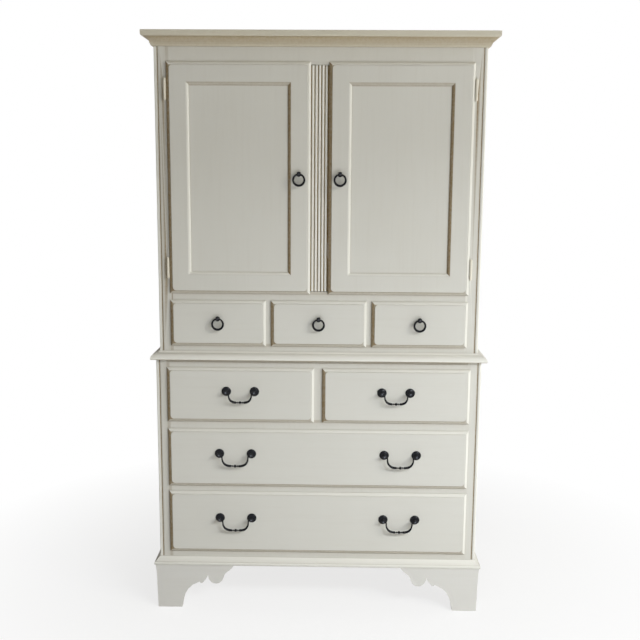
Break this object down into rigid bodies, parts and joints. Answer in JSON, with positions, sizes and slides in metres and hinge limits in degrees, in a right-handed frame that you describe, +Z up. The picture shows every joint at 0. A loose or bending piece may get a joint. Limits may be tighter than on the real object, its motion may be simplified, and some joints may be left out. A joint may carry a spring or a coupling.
{
  "type": "television armoire",
  "caption": "Tall painted two-part armoire: panelled doors over small drawers enclose a television bay, on a lower case of wide and half-width drawers with bracket feet.",
  "frame": {"origin": "centre of the whole object's footprint, on the floor", "axes": "+X to the viewer's right when facing the doors, -Y towards that viewer, +Z up"},
  "size_m": [1.13, 0.619, 1.935],
  "materials": {
    "cream_paint": "antique cream paint, satin, with brown glaze in the recesses",
    "inside_wood": "stained, matt",
    "drawer_wood": "clear sealed, matt",
    "hinge_metal": "cream paint rubbed back to brown, satin",
    "black_iron": "black, waxed"
  },
  "bodies": {
    "case": {"lower_left_side": "cream_paint", "lower_right_side": "cream_paint", "lower_face_frame": "cream_paint", "lower_back_panel": "inside_wood", "lower_bottom_panel": "inside_wood", "lower_web_frame": "inside_wood", "upper_web_frame": "inside_wood", "waist_top": "cream_paint", "base_moulding": "cream_paint", "front_left_foot": "cream_paint", "front_right_foot": "cream_paint", "rear_left_foot": "cream_paint", "rear_right_foot": "cream_paint", "upper_left_side": "cream_paint", "upper_right_side": "cream_paint", "upper_face_frame": "cream_paint", "upper_back_panel": "inside_wood", "upper_top_panel": "inside_wood", "tv_deck": "inside_wood", "small_drawer_floor": "inside_wood", "media_shelf": "inside_wood", "cornice": "cream_paint", "left_upper_hinge_frame_leaf": "hinge_metal", "left_lower_hinge_frame_leaf": "hinge_metal", "right_upper_hinge_frame_leaf": "hinge_metal", "right_lower_hinge_frame_leaf": "hinge_metal"},
    "left_door": {"left_door_frame": "cream_paint", "left_door_panel": "cream_paint", "fluted_strip": "cream_paint", "left_upper_hinge_door_leaf": "hinge_metal", "left_lower_hinge_door_leaf": "hinge_metal"},
    "right_door": {"right_door_frame": "cream_paint", "right_door_panel": "cream_paint", "right_upper_hinge_door_leaf": "hinge_metal", "right_lower_hinge_door_leaf": "hinge_metal"},
    "left_door_pull": {"left_door_ring": "black_iron"},
    "right_door_pull": {"right_door_ring": "black_iron"},
    "small_left_drawer": {"small_left_drawer_front": "cream_paint", "small_left_drawer_box": "drawer_wood"},
    "small_centre_drawer": {"small_centre_drawer_front": "cream_paint", "small_centre_drawer_box": "drawer_wood"},
    "small_right_drawer": {"small_right_drawer_front": "cream_paint", "small_right_drawer_box": "drawer_wood"},
    "small_left_pull": {"small_left_drawer_ring": "black_iron"},
    "small_centre_pull": {"small_centre_drawer_ring": "black_iron"},
    "small_right_pull": {"small_right_drawer_ring": "black_iron"},
    "left_half_drawer": {"left_half_drawer_front": "cream_paint", "left_half_drawer_box": "drawer_wood"},
    "right_half_drawer": {"right_half_drawer_front": "cream_paint", "right_half_drawer_box": "drawer_wood"},
    "middle_drawer": {"middle_drawer_front": "cream_paint", "middle_drawer_box": "drawer_wood"},
    "bottom_drawer": {"bottom_drawer_front": "cream_paint", "bottom_drawer_box": "drawer_wood"},
    "left_half_bail": {"left_half_drawer_bail": "black_iron"},
    "right_half_bail": {"right_half_drawer_bail": "black_iron"},
    "middle_left_bail": {"middle_drawer_left_bail": "black_iron"},
    "middle_right_bail": {"middle_drawer_right_bail": "black_iron"},
    "bottom_left_bail": {"bottom_drawer_left_bail": "black_iron"},
    "bottom_right_bail": {"bottom_drawer_right_bail": "black_iron"}
  },
  "joints": [
    {"name": "left_door_hinge", "type": "hinge", "parent": "case", "child": "left_door", "pos_m": [-0.49675, -0.26725, 1.4705], "axis": [0, 0, -1], "range_deg": [0, 110]},
    {"name": "right_door_hinge", "type": "hinge", "parent": "case", "child": "right_door", "pos_m": [0.49675, -0.26725, 1.4705], "axis": [0, 0, 1], "range_deg": [0, 110]},
    {"name": "left_door_ring_hinge", "type": "hinge", "parent": "left_door", "child": "left_door_pull", "pos_m": [-0.0665, -0.28575, 1.49], "axis": [-1, 0, 0], "range_deg": [-12, 90]},
    {"name": "right_door_ring_hinge", "type": "hinge", "parent": "right_door", "child": "right_door_pull", "pos_m": [0.0665, -0.28575, 1.49], "axis": [-1, 0, 0], "range_deg": [-12, 90]},
    {"name": "small_left_drawer_slide", "type": "slide", "parent": "case", "child": "small_left_drawer", "axis": [0, -1, 0], "range_m": [0, 0.36]},
    {"name": "small_centre_drawer_slide", "type": "slide", "parent": "case", "child": "small_centre_drawer", "axis": [0, -1, 0], "range_m": [0, 0.36]},
    {"name": "small_right_drawer_slide", "type": "slide", "parent": "case", "child": "small_right_drawer", "axis": [0, -1, 0], "range_m": [0, 0.36]},
    {"name": "small_left_ring_hinge", "type": "hinge", "parent": "small_left_drawer", "child": "small_left_pull", "pos_m": [-0.3335, -0.28575, 1.0175], "axis": [-1, 0, 0], "range_deg": [-12, 90]},
    {"name": "small_centre_ring_hinge", "type": "hinge", "parent": "small_centre_drawer", "child": "small_centre_pull", "pos_m": [0, -0.28575, 1.0175], "axis": [-1, 0, 0], "range_deg": [-12, 90]},
    {"name": "small_right_ring_hinge", "type": "hinge", "parent": "small_right_drawer", "child": "small_right_pull", "pos_m": [0.3335, -0.28575, 1.0175], "axis": [-1, 0, 0], "range_deg": [-12, 90]},
    {"name": "left_half_drawer_slide", "type": "slide", "parent": "case", "child": "left_half_drawer", "axis": [0, -1, 0], "range_m": [0, 0.38]},
    {"name": "right_half_drawer_slide", "type": "slide", "parent": "case", "child": "right_half_drawer", "axis": [0, -1, 0], "range_m": [0, 0.38]},
    {"name": "middle_drawer_slide", "type": "slide", "parent": "case", "child": "middle_drawer", "axis": [0, -1, 0], "range_m": [0, 0.38]},
    {"name": "bottom_drawer_slide", "type": "slide", "parent": "case", "child": "bottom_drawer", "axis": [0, -1, 0], "range_m": [0, 0.38]},
    {"name": "left_half_bail_hinge", "type": "hinge", "parent": "left_half_drawer", "child": "left_half_bail", "pos_m": [-0.25975, -0.30175, 0.7725], "axis": [-1, 0, 0], "range_deg": [-14, 95]},
    {"name": "right_half_bail_hinge", "type": "hinge", "parent": "right_half_drawer", "child": "right_half_bail", "pos_m": [0.25975, -0.30175, 0.7725], "axis": [-1, 0, 0], "range_deg": [-14, 95]},
    {"name": "middle_left_bail_hinge", "type": "hinge", "parent": "middle_drawer", "child": "middle_left_bail", "pos_m": [-0.278, -0.30175, 0.557], "axis": [-1, 0, 0], "range_deg": [-14, 95]},
    {"name": "middle_right_bail_hinge", "type": "hinge", "parent": "middle_drawer", "child": "middle_right_bail", "pos_m": [0.278, -0.30175, 0.557], "axis": [-1, 0, 0], "range_deg": [-14, 95]},
    {"name": "bottom_left_bail_hinge", "type": "hinge", "parent": "bottom_drawer", "child": "bottom_left_bail", "pos_m": [-0.278, -0.30175, 0.32925], "axis": [-1, 0, 0], "range_deg": [-14, 95]},
    {"name": "bottom_right_bail_hinge", "type": "hinge", "parent": "bottom_drawer", "child": "bottom_right_bail", "pos_m": [0.278, -0.30175, 0.32925], "axis": [-1, 0, 0], "range_deg": [-14, 95]}
  ]
}
